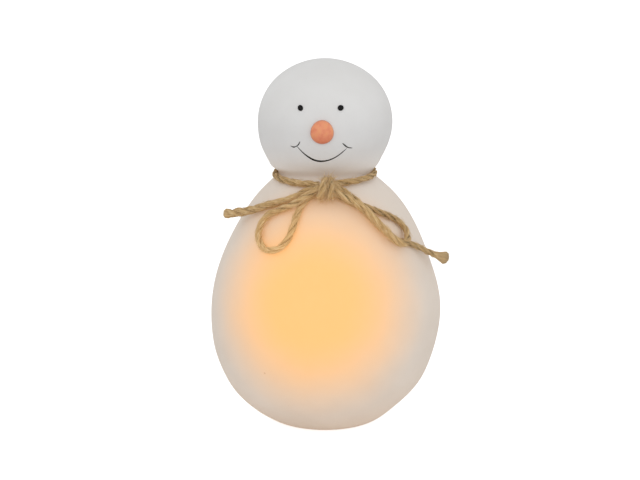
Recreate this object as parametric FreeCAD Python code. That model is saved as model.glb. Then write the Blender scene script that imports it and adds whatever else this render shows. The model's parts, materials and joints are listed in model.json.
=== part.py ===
"""Lit snowman ornament: a hollow bisque-porcelain figure with a jute bow and a pull-out LED module.

Millimetres, +Z up, the face looks along -Y. The origin is the middle of the foot, on the table.
"""

import FreeCAD
import Part
import math
import os

from FreeCAD import Vector

X_AXIS = Vector(1, 0, 0)
Y_AXIS = Vector(0, 1, 0)
Z_AXIS = Vector(0, 0, 1)

# ---- Porcelain figure ----
FOOT_RADIUS = 17.5
FOOT_THICKNESS = 4.5
WALL = 3.0
NECK_RADIUS = 17.6
HEAD_CENTRE_Z = 123.2
HEAD_RADIUS = 27.1
HEAD_HALF_HEIGHT = 25.8
# (radius, height) where the body's outline bends, from the foot up to the shoulder
BODY_OUTLINE = [(29.2, 6.6), (39.6, 18.8), (46.4, 45.0), (41.0, 71.4), (28.4, 93.8)]

# ---- Bottom opening ----
RECESS_RADIUS = 15.6
RECESS_DEPTH = 1.6
BORE_RADIUS = 14.9

# ---- Face: places on the head, as (x, z) seen from the front ----
EYE_PLACES = {"eye_left": (-9.6, 132.3), "eye_right": (6.0, 132.5)}
EYE_RADIUS = 1.3
EYE_PROUD = 0.75
NOSE_PLACE = (-1.2, 123.4)
NOSE_RADIUS = 5.2
NOSE_PROUD = 2.4
PAINT_THICKNESS = 0.12
# Brush strokes of the smile: start, end, and the middle of the upper and of the lower edge
SMILE_STROKES = [
    ((-11.2, 117.6), (8.5, 116.7), (-1.6, 111.9), (-1.6, 111.0)),
    ((-13.3, 117.3), (-9.8, 119.3), (-11.3, 117.5), (-11.2, 117.0)),
    ((6.7, 118.9), (10.6, 116.8), (8.4, 117.6), (8.2, 117.1)),
]

# ---- Jute twine ----
TWINE_DIAMETER = 3.2
COLLAR_RADIUS = 21.6
COLLAR_CENTRE = Vector(0, -1.25, 102.55)
COLLAR_TILT = 2.8
KNOT_CENTRE = Vector(0.4, -26.0, 100.9)
KNOT_HALF_SIZES = (3.3, 3.4, 4.4)
# Points that each strand of the bow follows, out of the knot and, for a loop, back into it
BOW_ROUTES = {
    "bow_tail_left": [
        (-1.6, -25.9, 100.4), (-6.4, -26.6, 98.9), (-11.3, -26.5, 97.0), (-16.9, -25.4, 95.0),
        (-23.4, -22.0, 92.7), (-29.6, -16.4, 90.4), (-34.9, -11.2, 88.3), (-39.6, -7.2, 86.5),
    ],
    "bow_loop_left": [
        (-1.6, -29.0, 101.4), (-6.0, -31.0, 99.6), (-10.6, -31.3, 97.4), (-15.7, -29.0, 94.0),
        (-21.2, -25.9, 90.6), (-25.1, -25.3, 87.2), (-26.3, -27.6, 83.0), (-25.0, -30.8, 79.2),
        (-21.8, -33.9, 77.7), (-17.9, -35.5, 79.0), (-14.8, -35.1, 82.6), (-12.2, -33.5, 86.8),
        (-10.2, -31.4, 90.9), (-7.6, -30.0, 93.7), (-4.4, -29.0, 95.9), (-1.2, -28.0, 97.8),
    ],
    "bow_loop_right": [
        (2.6, -26.4, 102.3), (7.4, -27.3, 100.6), (11.4, -27.2, 97.6), (15.0, -26.9, 94.5),
        (19.3, -26.1, 91.9), (24.0, -24.0, 89.6), (28.5, -22.0, 87.2), (32.0, -21.8, 84.2),
        (33.4, -24.8, 81.6), (31.8, -29.6, 80.4), (28.2, -32.6, 82.2), (24.6, -33.3, 85.6),
        (20.6, -33.2, 89.0), (16.4, -32.8, 92.2), (12.0, -32.2, 95.2), (7.3, -31.4, 98.1),
        (2.6, -29.8, 100.2),
    ],
    "bow_tail_right": [
        (1.8, -27.1, 97.7), (6.4, -28.8, 95.4), (11.0, -29.8, 92.5), (15.6, -30.8, 89.0),
        (20.2, -30.7, 85.1), (25.2, -29.7, 81.2), (30.6, -26.6, 78.1), (36.4, -20.9, 75.3),
        (42.5, -14.6, 72.4), (48.5, -9.2, 69.3),
    ],
}

# ---- Light module, from its underside up ----
MODULE_BOTTOM = 0.6
FLANGE_RADIUS = 15.4
FLANGE_TOP = 1.5
NOTCH_WIDTH = 7.0
PLUG_RADIUS = 14.0
PLUG_INNER_RADIUS = 12.8
PLUG_TOP = 12.5
GROOVE_RADIUS = 13.4
GROOVE_BOTTOM = 2.4
GROOVE_TOP = 4.0
RING_RADIUS = 14.85

CELL_Y = 1.9
CELL_RADIUS = 10.0
CELL_BOTTOM = 1.95
CELL_SHOULDER = 4.75
CELL_TOP = 5.15
CELL_CAP_RADIUS = 8.8
POCKET_RADII = (10.3, 11.0)
POCKET_TOP = 5.0

DOOR_RADIUS = 10.3
DOOR_TOP = 1.8
DOOR_GAP = 0.15
EAR_RADIUS = 2.1
LIP_BOTTOM = 1.85
LIP_TOP = 2.4
LIP_RADIUS = 10.15

BOSS_RADIUS = 1.7
PILLAR_RADIUS = 1.5
BOSS_X = 7.6
BOSS_Y = -8.2
SCREW_RADIUS = 0.75
SCREW_HOLE_RADIUS = 0.8
SCREW_HEAD_RADIUS = 1.45
HEAD_HOLE_RADIUS = 1.55
DOOR_SCREW_SHOULDER = 1.35
DOOR_SCREW_TIP = 4.9
COVER_SCREW_TIP = 5.6

BOARD_RADIUS = 12.6
BOARD_BOTTOM = 8.6
BOARD_TOP = 9.6
CONTACT_THICKNESS = 0.3
CONTACT_WIDTH = 3.0

SWITCH_Y = -10.3
SWITCH_BOTTOM = 5.1
SWITCH_SIZE = (7.2, 2.8)
SLIDER_STEM = 1.4
SLIDER_FOOT = 1.8
SWITCH_TRAVEL = 2.0

COVER_TOP = 13.9
SPIGOT_RADII = (11.9, 12.7)
SPIGOT_BOTTOM = 10.4
SCREW_SEAT = 12.9
SOCKET_RADIUS = 4.4
SOCKET_TOP = 18.0

STALK_RADIUS = 3.0
STALK_BORE = 2.0
STALK_TOP = 40.0
LED_Z = 46.0
LED_RADIUS = 2.45
LED_FLANGE_RADIUS = 2.9
LED_FLANGE_BACK = 1.0
LED_DOME_Y = -5.6
LEG_X = 1.27
LEG_Y = 2.2
LEG_WIDTH = 0.5
LEG_BOTTOM = 42.6
HOLDER_RADIUS = 4.2
HOLDER_FRONT = -2.2
HOLDER_BACK = 3.6
HOLDER_BOTTOM = 37.0
WIRE_DIAMETER = 1.2


def cylinder(radius, bottom, top, x=0.0, y=0.0):
    return Part.makeCylinder(radius, top - bottom, Vector(x, y, bottom), Z_AXIS)


def cylinder_along_y(radius, front, back, z):
    return Part.makeCylinder(radius, back - front, Vector(0, front, z), Y_AXIS)


def ring(outer, inner, bottom, top, x=0.0, y=0.0):
    return cylinder(outer, bottom, top, x, y).cut(cylinder(inner, bottom, top, x, y))


def block(x_range, y_range, z_range):
    low = Vector(x_range[0], y_range[0], z_range[0])
    sizes = [span[1] - span[0] for span in (x_range, y_range, z_range)]
    return Part.makeBox(*sizes, low)


def largest_solid(shape):
    return max(shape.Solids, key=lambda solid: solid.Volume)


def ellipse_arc(radius, half_height, centre_z, start_angle, end_angle):
    """Arc of an upright ellipse in the XZ plane, angles in radians from +X towards +Z."""
    centre = Vector(0, 0, centre_z)
    ellipse = Part.Ellipse(centre + Vector(radius, 0, 0), centre + Vector(0, 0, half_height), centre)
    return Part.ArcOfEllipse(ellipse, start_angle, end_angle).toBSpline()


def revolved(edges):
    """Solid of revolution about Z; the edges run from the axis back to the axis."""
    points = [edges[0].valueAt(edges[0].FirstParameter), edges[-1].valueAt(edges[-1].LastParameter)]
    closing = Part.LineSegment(points[1], points[0]).toShape()
    face = Part.Face(Part.Wire(edges + [closing]))
    return face.revolve(Vector(0, 0, 0), Z_AXIS, 360)


# ---- Porcelain figure ----

def neck_angle(radius, neck_radius):
    """Angle on the head's ellipse where it has the neck's radius, below its equator."""
    return -math.acos(neck_radius / radius)


def neck_point(radius, half_height, neck_radius):
    angle = neck_angle(radius, neck_radius)
    return Vector(neck_radius, 0, HEAD_CENTRE_Z + half_height * math.sin(angle))


def body_curve(points):
    curve = Part.BSplineCurve()
    last_run = points[-1] - points[-2]
    curve.interpolate(Points=points, InitialTangent=X_AXIS, FinalTangent=last_run.normalize())
    return curve


def inset_point(curve, point, depth):
    direction = curve.tangent(curve.parameter(point))[0]
    outward = Vector(direction.z, 0, -direction.x)
    return point - outward * depth


def figure_solid(points, radius, half_height, neck_radius):
    """Body outline through the points, then the head's ellipse up to the crown."""
    bottom = Part.LineSegment(Vector(0, 0, points[0].z), points[0])
    start = neck_angle(radius, neck_radius)
    head = ellipse_arc(radius, half_height, HEAD_CENTRE_Z, start, math.pi / 2)
    return revolved([bottom.toShape(), body_curve(points).toShape(), head.toShape()])


def head_ellipsoid(growth=0.0):
    radius = HEAD_RADIUS + growth
    half_height = HEAD_HALF_HEIGHT + growth
    arc = ellipse_arc(radius, half_height, HEAD_CENTRE_Z, -math.pi / 2, math.pi / 2)
    return revolved([arc.toShape()])


def outer_points():
    points = [Vector(FOOT_RADIUS, 0, 0)]
    points += [Vector(radius, 0, height) for radius, height in BODY_OUTLINE]
    points.append(neck_point(HEAD_RADIUS, HEAD_HALF_HEIGHT, NECK_RADIUS))
    return points


def outer_solid():
    return figure_solid(outer_points(), HEAD_RADIUS, HEAD_HALF_HEIGHT, NECK_RADIUS)


def cavity():
    inner_head = (HEAD_RADIUS - WALL, HEAD_HALF_HEIGHT - WALL, NECK_RADIUS - WALL)
    outer = outer_points()
    curve = body_curve(outer)
    points = [Vector(FOOT_RADIUS, 0, FOOT_THICKNESS)]
    points += [inset_point(curve, point, WALL) for point in outer[1:-1]]
    points.append(neck_point(*inner_head))
    return figure_solid(points, *inner_head)


def ceramic_shell():
    shell = outer_solid().cut(cavity())
    shell = shell.cut(cylinder(RECESS_RADIUS, -1.0, RECESS_DEPTH))
    return shell.cut(cylinder(BORE_RADIUS, 0.0, FOOT_THICKNESS + 1.0))


# ---- Face ----

def head_surface(x, z):
    """Point on the front of the head, and the outward direction there."""
    rise = (z - HEAD_CENTRE_Z) / HEAD_HALF_HEIGHT
    depth = HEAD_RADIUS * math.sqrt(1 - rise ** 2 - (x / HEAD_RADIUS) ** 2)
    point = Vector(x, -depth, z)
    slope_z = (z - HEAD_CENTRE_Z) / HEAD_HALF_HEIGHT ** 2
    outward = Vector(x / HEAD_RADIUS ** 2, -depth / HEAD_RADIUS ** 2, slope_z)
    return point, outward.normalize()


def dome_on_head(place, radius, proud):
    """Part of a ball that stands proud of the head."""
    point, outward = head_surface(*place)
    ball = Part.makeSphere(radius, point - outward * (radius - proud), outward)
    return ball.cut(head_ellipsoid())


def stroke_prism(start, end, upper_middle, lower_middle):
    """Crescent between two arcs, as a bar that runs through the face."""
    corner = [Vector(x, 0, z) for x, z in (start, end, upper_middle, lower_middle)]
    upper = Part.Arc(corner[0], corner[2], corner[1]).toShape()
    lower = Part.Arc(corner[1], corner[3], corner[0]).toShape()
    return Part.Face(Part.Wire([upper, lower])).extrude(Vector(0, -2 * HEAD_RADIUS, 0))


def painted_smile():
    prisms = [stroke_prism(*stroke) for stroke in SMILE_STROKES]
    strokes = prisms[0].fuse(prisms[1:])
    return strokes.common(head_ellipsoid(PAINT_THICKNESS)).cut(head_ellipsoid())


# ---- Jute twine ----

def smooth_path(points):
    """Straight runs joined by tangent arcs as large as the runs allow. Returns the wire and radii."""
    edges = []
    radii = []
    start = points[0]
    for before, corner, after in zip(points, points[1:], points[2:]):
        run_in = corner - before
        run_out = after - corner
        half_turn = run_in.getAngle(run_out) / 2
        setback = 0.45 * min(run_in.Length, run_out.Length)
        into = corner - Vector(run_in).normalize() * setback
        out_of = corner + Vector(run_out).normalize() * setback
        radius = setback / math.tan(half_turn)
        towards = (into + out_of) / 2 - corner
        sagitta = radius / math.cos(half_turn) - radius
        middle = corner + towards.normalize() * sagitta
        edges.append(Part.LineSegment(start, into).toShape())
        edges.append(Part.Arc(into, middle, out_of).toShape())
        radii.append(radius)
        start = out_of
    edges.append(Part.LineSegment(start, points[-1]).toShape())
    return Part.Wire(edges), radii


def tube(points, diameter, name):
    """Round tube along the points; prints its tightest bend and checks its volume."""
    path, radii = smooth_path([Vector(*point) for point in points])
    first = path.Edges[0]
    section = Part.Circle(Vector(*points[0]), first.tangentAt(first.FirstParameter), diameter / 2)
    solid = path.makePipeShell([Part.Wire(section.toShape())], True, True)
    expected = math.pi * diameter ** 2 / 4 * path.Length
    print(f"{name}: length {path.Length:.1f}, tightest bend {min(radii):.1f}, "
          f"volume over section x length {solid.Volume / expected:.4f}")
    return Part.Solid(solid) if solid.ShapeType == "Shell" else solid


def twine_collar():
    tilt = math.radians(COLLAR_TILT)
    axis = Vector(0, -math.sin(tilt), math.cos(tilt))
    collar = Part.makeTorus(COLLAR_RADIUS, TWINE_DIAMETER / 2, COLLAR_CENTRE, axis)
    return largest_solid(collar.cut(twine_knot()))


def twine_knot():
    scale = FreeCAD.Matrix()
    scale.scale(*KNOT_HALF_SIZES)
    ball = Part.makeSphere(1.0).transformGeometry(scale)
    ball.translate(KNOT_CENTRE)
    return ball.cut(outer_solid())


def bow_strand(name):
    strand = tube(BOW_ROUTES[name], TWINE_DIAMETER, name)
    return largest_solid(strand.cut(twine_knot()))


# ---- Light module: housing ----

def door_outline(growth, bottom, top):
    """Round door over the cell with an ear for its screw."""
    disc = cylinder(DOOR_RADIUS + growth, bottom, top, y=CELL_Y)
    ear_radius = EAR_RADIUS + growth
    ear = cylinder(ear_radius, bottom, top, BOSS_X, BOSS_Y)
    reach = math.hypot(BOSS_X, BOSS_Y - CELL_Y)
    bridge = block((0.0, reach), (-ear_radius, ear_radius), (bottom, top))
    bridge.rotate(Vector(0, 0, 0), Z_AXIS, math.degrees(math.atan2(BOSS_Y - CELL_Y, BOSS_X)))
    bridge.translate(Vector(0, CELL_Y, 0))
    return disc.fuse([ear, bridge]).removeSplitter()


def module_base():
    cup = cylinder(PLUG_RADIUS, MODULE_BOTTOM, PLUG_TOP)
    cup = cup.cut(cylinder(PLUG_INNER_RADIUS, LIP_TOP, PLUG_TOP))
    cup = cup.cut(ring(PLUG_RADIUS, GROOVE_RADIUS, GROOVE_BOTTOM, GROOVE_TOP))
    flange = cylinder(FLANGE_RADIUS, MODULE_BOTTOM, FLANGE_TOP)
    for side in (-1, 1):
        edges = sorted((side * (PLUG_RADIUS + 0.2), side * (FLANGE_RADIUS + 1.0)))
        half = NOTCH_WIDTH / 2
        flange = flange.cut(block(edges, (-half, half), (MODULE_BOTTOM, FLANGE_TOP)))
    pocket = cylinder(POCKET_RADII[1], LIP_TOP, POCKET_TOP, y=CELL_Y)
    bosses = [cylinder(BOSS_RADIUS, LIP_TOP, BOARD_BOTTOM, side * BOSS_X, BOSS_Y) for side in (-1, 1)]
    ledge = block((-2.0, 2.0), (BOARD_RADIUS - 1.0, PLUG_INNER_RADIUS + 0.4), (7.4, BOARD_BOTTOM))
    base = cup.fuse([flange, pocket, ledge] + bosses)
    base = base.cut(door_outline(DOOR_GAP, MODULE_BOTTOM, LIP_BOTTOM))
    base = base.cut(cylinder(LIP_RADIUS, LIP_BOTTOM, LIP_TOP, y=CELL_Y))
    base = base.cut(cylinder(POCKET_RADII[0], LIP_TOP, POCKET_TOP, y=CELL_Y))
    contact_slot = block((-11.6, -9.8), (CELL_Y - 1.8, CELL_Y + 1.8), (LIP_TOP, POCKET_TOP))
    base = base.cut(contact_slot)
    slot_half = SLIDER_STEM / 2 + SWITCH_TRAVEL + 0.3
    slot_sides = (SWITCH_Y - SLIDER_STEM / 2 - 0.1, SWITCH_Y + SLIDER_STEM / 2 + 0.1)
    base = base.cut(block((-slot_half, slot_half), slot_sides, (MODULE_BOTTOM, LIP_TOP)))
    base = base.cut(cylinder(SCREW_HOLE_RADIUS, LIP_BOTTOM, BOARD_BOTTOM, BOSS_X, BOSS_Y))
    return base.cut(cylinder(SCREW_HOLE_RADIUS, POCKET_TOP, BOARD_BOTTOM, -BOSS_X, BOSS_Y))


def retaining_ring():
    return ring(RING_RADIUS, GROOVE_RADIUS, GROOVE_BOTTOM, GROOVE_TOP)


def battery_door():
    door = door_outline(0.0, MODULE_BOTTOM, DOOR_TOP)
    door = door.cut(cylinder(HEAD_HOLE_RADIUS, MODULE_BOTTOM, DOOR_SCREW_SHOULDER, BOSS_X, BOSS_Y))
    return door.cut(cylinder(SCREW_HOLE_RADIUS, MODULE_BOTTOM, DOOR_TOP, BOSS_X, BOSS_Y))


def cross_recess(x, y, bottom, top):
    arms = [block((x - 0.9, x + 0.9), (y - 0.18, y + 0.18), (bottom, top)),
            block((x - 0.18, x + 0.18), (y - 0.9, y + 0.9), (bottom, top))]
    return arms[0].fuse(arms[1])


def door_screw():
    head = cylinder(SCREW_HEAD_RADIUS, MODULE_BOTTOM + 0.1, DOOR_SCREW_SHOULDER, BOSS_X, BOSS_Y)
    shank = cylinder(SCREW_RADIUS, DOOR_SCREW_SHOULDER, DOOR_SCREW_TIP, BOSS_X, BOSS_Y)
    recess = cross_recess(BOSS_X, BOSS_Y, MODULE_BOTTOM, MODULE_BOTTOM + 0.5)
    return head.fuse(shank).cut(recess)


def module_cover():
    plate = cylinder(PLUG_RADIUS, PLUG_TOP, COVER_TOP)
    spigot = ring(SPIGOT_RADII[1], SPIGOT_RADII[0], SPIGOT_BOTTOM, PLUG_TOP)
    socket = cylinder(SOCKET_RADIUS, COVER_TOP, SOCKET_TOP)
    pillars = [cylinder(PILLAR_RADIUS, BOARD_TOP, PLUG_TOP, side * BOSS_X, BOSS_Y)
               for side in (-1, 1)]
    cover = plate.fuse([spigot, socket] + pillars)
    cover = cover.cut(cylinder(STALK_RADIUS, COVER_TOP, SOCKET_TOP))
    cover = cover.cut(cylinder(STALK_BORE, PLUG_TOP, COVER_TOP))
    for side in (-1, 1):
        x = side * BOSS_X
        cover = cover.cut(cylinder(SCREW_HOLE_RADIUS, BOARD_TOP, COVER_TOP, x, BOSS_Y))
        cover = cover.cut(cylinder(HEAD_HOLE_RADIUS, SCREW_SEAT, COVER_TOP, x, BOSS_Y))
    return cover


def cover_screws():
    screws = []
    for side in (-1, 1):
        x = side * BOSS_X
        head = cylinder(SCREW_HEAD_RADIUS, SCREW_SEAT, COVER_TOP - 0.1, x, BOSS_Y)
        shank = cylinder(SCREW_RADIUS, COVER_SCREW_TIP, SCREW_SEAT, x, BOSS_Y)
        screws.append(head.fuse(shank).cut(cross_recess(x, BOSS_Y, COVER_TOP - 0.5, COVER_TOP)))
    return Part.makeCompound(screws)


# ---- Light module: electrics ----

def coin_cell():
    can = cylinder(CELL_RADIUS, CELL_BOTTOM, CELL_SHOULDER, y=CELL_Y)
    return can.fuse(cylinder(CELL_CAP_RADIUS, CELL_SHOULDER, CELL_TOP, y=CELL_Y))


def contact_strip(upper, lower):
    """Bent sheet-metal strip: its (x, z) outline, extruded over the contact's width."""
    outline = [Vector(x, CELL_Y - CONTACT_WIDTH / 2, z) for x, z in upper + lower[::-1]]
    wire = Part.makePolygon(outline + [outline[0]])
    return Part.Face(wire).extrude(Vector(0, CONTACT_WIDTH, 0))


def negative_contact():
    top = BOARD_BOTTOM
    rest = CELL_TOP + CONTACT_THICKNESS
    upper = [(7.5, top), (4.0, top), (0.0, rest), (-1.5, rest), (-2.6, rest + 0.6)]
    lower = [(7.5, top - 0.3), (4.1, top - 0.3), (0.1, CELL_TOP), (-1.6, CELL_TOP), (-2.8, rest + 0.3)]
    return contact_strip(upper, lower)


def positive_contact():
    outer_x = -CELL_RADIUS - CONTACT_THICKNESS
    upper = [(outer_x, 2.6), (outer_x, BOARD_BOTTOM), (-7.0, BOARD_BOTTOM)]
    under = BOARD_BOTTOM - CONTACT_THICKNESS
    lower = [(-CELL_RADIUS, 2.6), (-CELL_RADIUS, under), (-7.0, under)]
    return contact_strip(upper, lower)


def circuit_board():
    board = cylinder(BOARD_RADIUS, BOARD_BOTTOM, BOARD_TOP)
    for side in (-1, 1):
        board = board.cut(cylinder(SCREW_HOLE_RADIUS, BOARD_BOTTOM, BOARD_TOP, side * BOSS_X, BOSS_Y))
    return board


def timer_chip():
    """Eight-lead surface-mount chip; the leads are small feet at its sides."""
    chip = block((2.6, 6.5), (2.0, 6.9), (BOARD_TOP + 0.1, BOARD_TOP + 1.5))
    for index in range(4):
        y = 2.6 + 1.27 * index
        chip = chip.fuse(block((1.6, 7.5), (y - 0.2, y + 0.2), (BOARD_TOP, BOARD_TOP + 0.3)))
    return chip


def resistor():
    return block((-6.6, -3.4), (4.2, 5.8), (BOARD_TOP, BOARD_TOP + 0.6))


def switch_body():
    half_x = SWITCH_SIZE[0] / 2
    half_y = SWITCH_SIZE[1] / 2
    sides = (SWITCH_Y - half_y, SWITCH_Y + half_y)
    body = block((-half_x, half_x), sides, (SWITCH_BOTTOM, BOARD_BOTTOM))
    room = SLIDER_FOOT / 2 + SWITCH_TRAVEL + 0.1
    foot_sides = (SWITCH_Y - SLIDER_FOOT / 2 - 0.1, SWITCH_Y + SLIDER_FOOT / 2 + 0.1)
    body = body.cut(block((-room, room), foot_sides, (SWITCH_BOTTOM + 0.3, SWITCH_BOTTOM + 1.8)))
    slot = SLIDER_STEM / 2 + SWITCH_TRAVEL + 0.1
    stem_sides = (SWITCH_Y - SLIDER_STEM / 2 - 0.1, SWITCH_Y + SLIDER_STEM / 2 + 0.1)
    return body.cut(block((-slot, slot), stem_sides, (SWITCH_BOTTOM, SWITCH_BOTTOM + 0.3)))


def switch_slider():
    half = SLIDER_STEM / 2
    stem = block((-half, half), (SWITCH_Y - half, SWITCH_Y + half), (MODULE_BOTTOM + 0.1, 5.5))
    half = SLIDER_FOOT / 2
    foot = block((-half, half), (SWITCH_Y - half, SWITCH_Y + half), (5.5, 6.6))
    return stem.fuse(foot)


# ---- Light module: lamp on its stalk ----

def led_stalk():
    return ring(STALK_RADIUS, STALK_BORE, COVER_TOP, STALK_TOP)


def led_holder():
    sleeve = cylinder(HOLDER_RADIUS, HOLDER_BOTTOM, LED_Z - 2.0)
    barrel = cylinder_along_y(HOLDER_RADIUS, HOLDER_FRONT, HOLDER_BACK, LED_Z)
    holder = sleeve.fuse(barrel)
    holder = holder.cut(cylinder(STALK_RADIUS, HOLDER_BOTTOM, STALK_TOP))
    holder = holder.cut(cylinder_along_y(LED_RADIUS + 0.05, -HOLDER_RADIUS, 0.0, LED_Z))
    holder = holder.cut(cylinder_along_y(LED_FLANGE_RADIUS, 0.0, HOLDER_BACK, LED_Z))
    return holder.cut(block((-2.0, 2.0), (-1.0, 3.2), (STALK_TOP, LED_Z - 1.0)))


def led_bulb():
    flange = cylinder_along_y(LED_FLANGE_RADIUS, 0.0, LED_FLANGE_BACK, LED_Z)
    body = cylinder_along_y(LED_RADIUS, LED_DOME_Y, 0.0, LED_Z)
    dome = Part.makeSphere(LED_RADIUS, Vector(0, LED_DOME_Y, LED_Z))
    return flange.fuse([body, dome]).removeSplitter()


def led_legs():
    legs = []
    half = LEG_WIDTH / 2
    for side in (-1, 1):
        sides = (side * LEG_X - half, side * LEG_X + half)
        out = block(sides, (LED_FLANGE_BACK, LEG_Y + half), (LED_Z - half, LED_Z + half))
        down = block(sides, (LEG_Y - half, LEG_Y + half), (LEG_BOTTOM, LED_Z))
        legs.append(out.fuse(down).removeSplitter())
    return Part.makeCompound(legs)


def led_wire(side, name):
    """Insulated wire from the board, up inside the stalk, to the foot of one leg of the lamp."""
    points = [(side * 1.0, 0.0, BOARD_TOP), (side * 1.0, 0.0, STALK_TOP + 0.2),
              (side * LEG_X, LEG_Y, LEG_BOTTOM - 1.0), (side * LEG_X, LEG_Y, LEG_BOTTOM)]
    return tube(points, WIRE_DIAMETER, name)


def build_parts():
    parts = {
        "ceramic_shell": ceramic_shell(),
        "nose": dome_on_head(NOSE_PLACE, NOSE_RADIUS, NOSE_PROUD),
        "painted_smile": painted_smile(),
        "twine_collar": twine_collar(),
        "twine_knot": twine_knot(),
        "module_base": module_base(),
        "retaining_ring": retaining_ring(),
        "battery_door": battery_door(),
        "door_screw": door_screw(),
        "module_cover": module_cover(),
        "cover_screws": cover_screws(),
        "coin_cell": coin_cell(),
        "negative_contact": negative_contact(),
        "positive_contact": positive_contact(),
        "circuit_board": circuit_board(),
        "timer_chip": timer_chip(),
        "resistor": resistor(),
        "switch_body": switch_body(),
        "switch_slider": switch_slider(),
        "led_stalk": led_stalk(),
        "led_holder": led_holder(),
        "led_bulb": led_bulb(),
        "led_legs": led_legs(),
        "led_wire_positive": led_wire(1, "led_wire_positive"),
        "led_wire_negative": led_wire(-1, "led_wire_negative"),
    }
    for name, place in EYE_PLACES.items():
        parts[name] = dome_on_head(place, EYE_RADIUS, EYE_PROUD)
    for name in BOW_ROUTES:
        parts[name] = bow_strand(name)
    return parts


def main():
    os.makedirs("parts", exist_ok=True)
    for name, shape in build_parts().items():
        print(f"{name}: {len(shape.Solids)} solid(s), {shape.Volume:.1f} mm3, valid {shape.isValid()}")
        shape.exportStep(f"parts/{name}.step")


main()
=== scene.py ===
"""Looks of the lit snowman ornament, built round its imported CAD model.

Everything is in metres, in the CAD's frame: +Z up, the face looks along -Y, and the origin is the
middle of the foot, on the table.
"""

import json
import math
import random
from collections import namedtuple

import bmesh
import bpy
import numpy as np
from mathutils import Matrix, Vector, noise


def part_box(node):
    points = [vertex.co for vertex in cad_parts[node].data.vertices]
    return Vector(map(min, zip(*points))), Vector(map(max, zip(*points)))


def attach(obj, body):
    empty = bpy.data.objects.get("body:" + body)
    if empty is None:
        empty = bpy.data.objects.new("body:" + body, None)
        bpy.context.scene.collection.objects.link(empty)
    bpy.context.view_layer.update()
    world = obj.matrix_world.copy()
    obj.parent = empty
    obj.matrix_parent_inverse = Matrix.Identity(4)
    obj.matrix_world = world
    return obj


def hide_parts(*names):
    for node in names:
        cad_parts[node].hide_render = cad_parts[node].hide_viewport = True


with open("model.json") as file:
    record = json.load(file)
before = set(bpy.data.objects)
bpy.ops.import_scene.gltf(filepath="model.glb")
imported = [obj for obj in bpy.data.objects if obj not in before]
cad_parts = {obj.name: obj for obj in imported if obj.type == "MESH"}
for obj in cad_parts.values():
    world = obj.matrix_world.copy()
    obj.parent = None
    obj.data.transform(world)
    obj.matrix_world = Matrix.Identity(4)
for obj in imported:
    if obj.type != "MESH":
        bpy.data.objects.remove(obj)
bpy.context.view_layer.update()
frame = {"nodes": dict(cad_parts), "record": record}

# ---- Camera ----
CAMERA_TARGET = Vector((-0.002, 0.0, 0.0746))
CAMERA_DISTANCE = 0.8
CAMERA_ELEVATION = math.radians(12.5)
CAMERA_LENS = 110.8

# ---- Porcelain figure, with the CAD's driving dimensions ----
FOOT_RADIUS = 0.0175
FOOT_THICKNESS = 0.0045
WALL = 0.003
NECK_RADIUS = 0.0176
HEAD_CENTRE_Z = 0.1232
HEAD_RADIUS = 0.0271
HEAD_HALF_HEIGHT = 0.0258
# (radius, height) where the body's outline bends, from the foot up to the shoulder
BODY_OUTLINE = [(0.0292, 0.0066), (0.0396, 0.0188), (0.0464, 0.045), (0.041, 0.0714), (0.0284, 0.0938)]
RECESS_RADIUS = 0.0156
RECESS_DEPTH = 0.0016
BORE_RADIUS = 0.0149
RECESS_CHAMFER = 0.0002
BORE_CHAMFER = 0.0003
# How far from the neck's crease the two balls are blended into each other, and in how many points
CREASE_BLEND = 0.0016
CREASE_POINTS = 9
# The finished crown is this much lower than the CAD's; the sinking starts half-way up to it
CROWN_Z = HEAD_CENTRE_Z + HEAD_HALF_HEIGHT
CROWN_SUNK = 0.0004
# Points up the body and up the head, outside and inside the wall, and round the axis
OUTSIDE_STEPS = (130, 96)
INSIDE_STEPS = (70, 50)
FIGURE_SEGMENTS = 176
# A radius smaller than this is a point on the axis
ON_AXIS = 1e-5
SHARP_EDGE = math.radians(50)
# Where the hand-finished casting is flatter than a true round, or fuller where the depth is
# negative: azimuth from +X in degrees, height, spread in height, depth. The foot's edge is left
# round, and the flats have their full depth from ROUND_FOOT_HEIGHT up.
ROUND_FOOT_HEIGHT = 0.006
FLAT_PLACES = [
    (180, 0.088, 0.016, 0.0015),
    (0, 0.114, 0.007, 0.0002),
    (75, 0.050, 0.024, 0.0006),
    (120, 0.128, 0.014, 0.0005),
    (0, 0.050, 0.014, -0.0009),
    (180, 0.027, 0.011, -0.0007),
    (205, 0.011, 0.009, -0.0018),
    (180, 0.1065, 0.0042, -0.0012),
    (180, 0.113, 0.005, -0.0005),
    (180, 0.1056, 0.0016, -0.0009),
    (0, 0.016, 0.008, -0.0006),
    (0, 0.1055, 0.003, -0.0009),
]
# The lamp's painted glow on the porcelain is full as far as GLOW_FULL from this spot and has faded away at
# GLOW_GONE
GLOW_CENTRE = Vector((-0.005, -0.0445, 0.059))
GLOW_FULL = 0.0145
GLOW_GONE = 0.056
# The porcelain's colour changes over these bands of height, from none to full: painted warm light from the
# lamp over the body, and the painted light that climbs to the neck and spreads to the foot
PAINTED_WARM_LIGHT_BAND = (0.112, 0.094)
NECK_LIGHT_BAND = (0.120, 0.100)
FOOT_LIGHT_BAND = (0.035, 0.0)
# Painted shade makes the head a little darker between these heights
PAINTED_SHADE_HEAD_BAND = (0.104, 0.137)
SPECK_PLACE = Vector((-0.0236, -0.0374, 0.0294))
SPECK_RADIUS = 0.0006

# ---- Nose and eyes ----
# Half sizes are (across, up); proud is how far the top stands out of the head
NOSE_HALF_SIZES = (0.0045, 0.00465)
NOSE_PROUD = 0.0024
NOSE_NARROWING = 0.08
NOSE_LUMPS = 0.00012
LEFT_EYE_HALF_SIZES = (0.00104, 0.00112)
RIGHT_EYE_HALF_SIZES = (0.00118, 0.00107)
EYE_PROUD = 0.0008
DOME_RINGS = 22
DOME_SEGMENTS = 64
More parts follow.
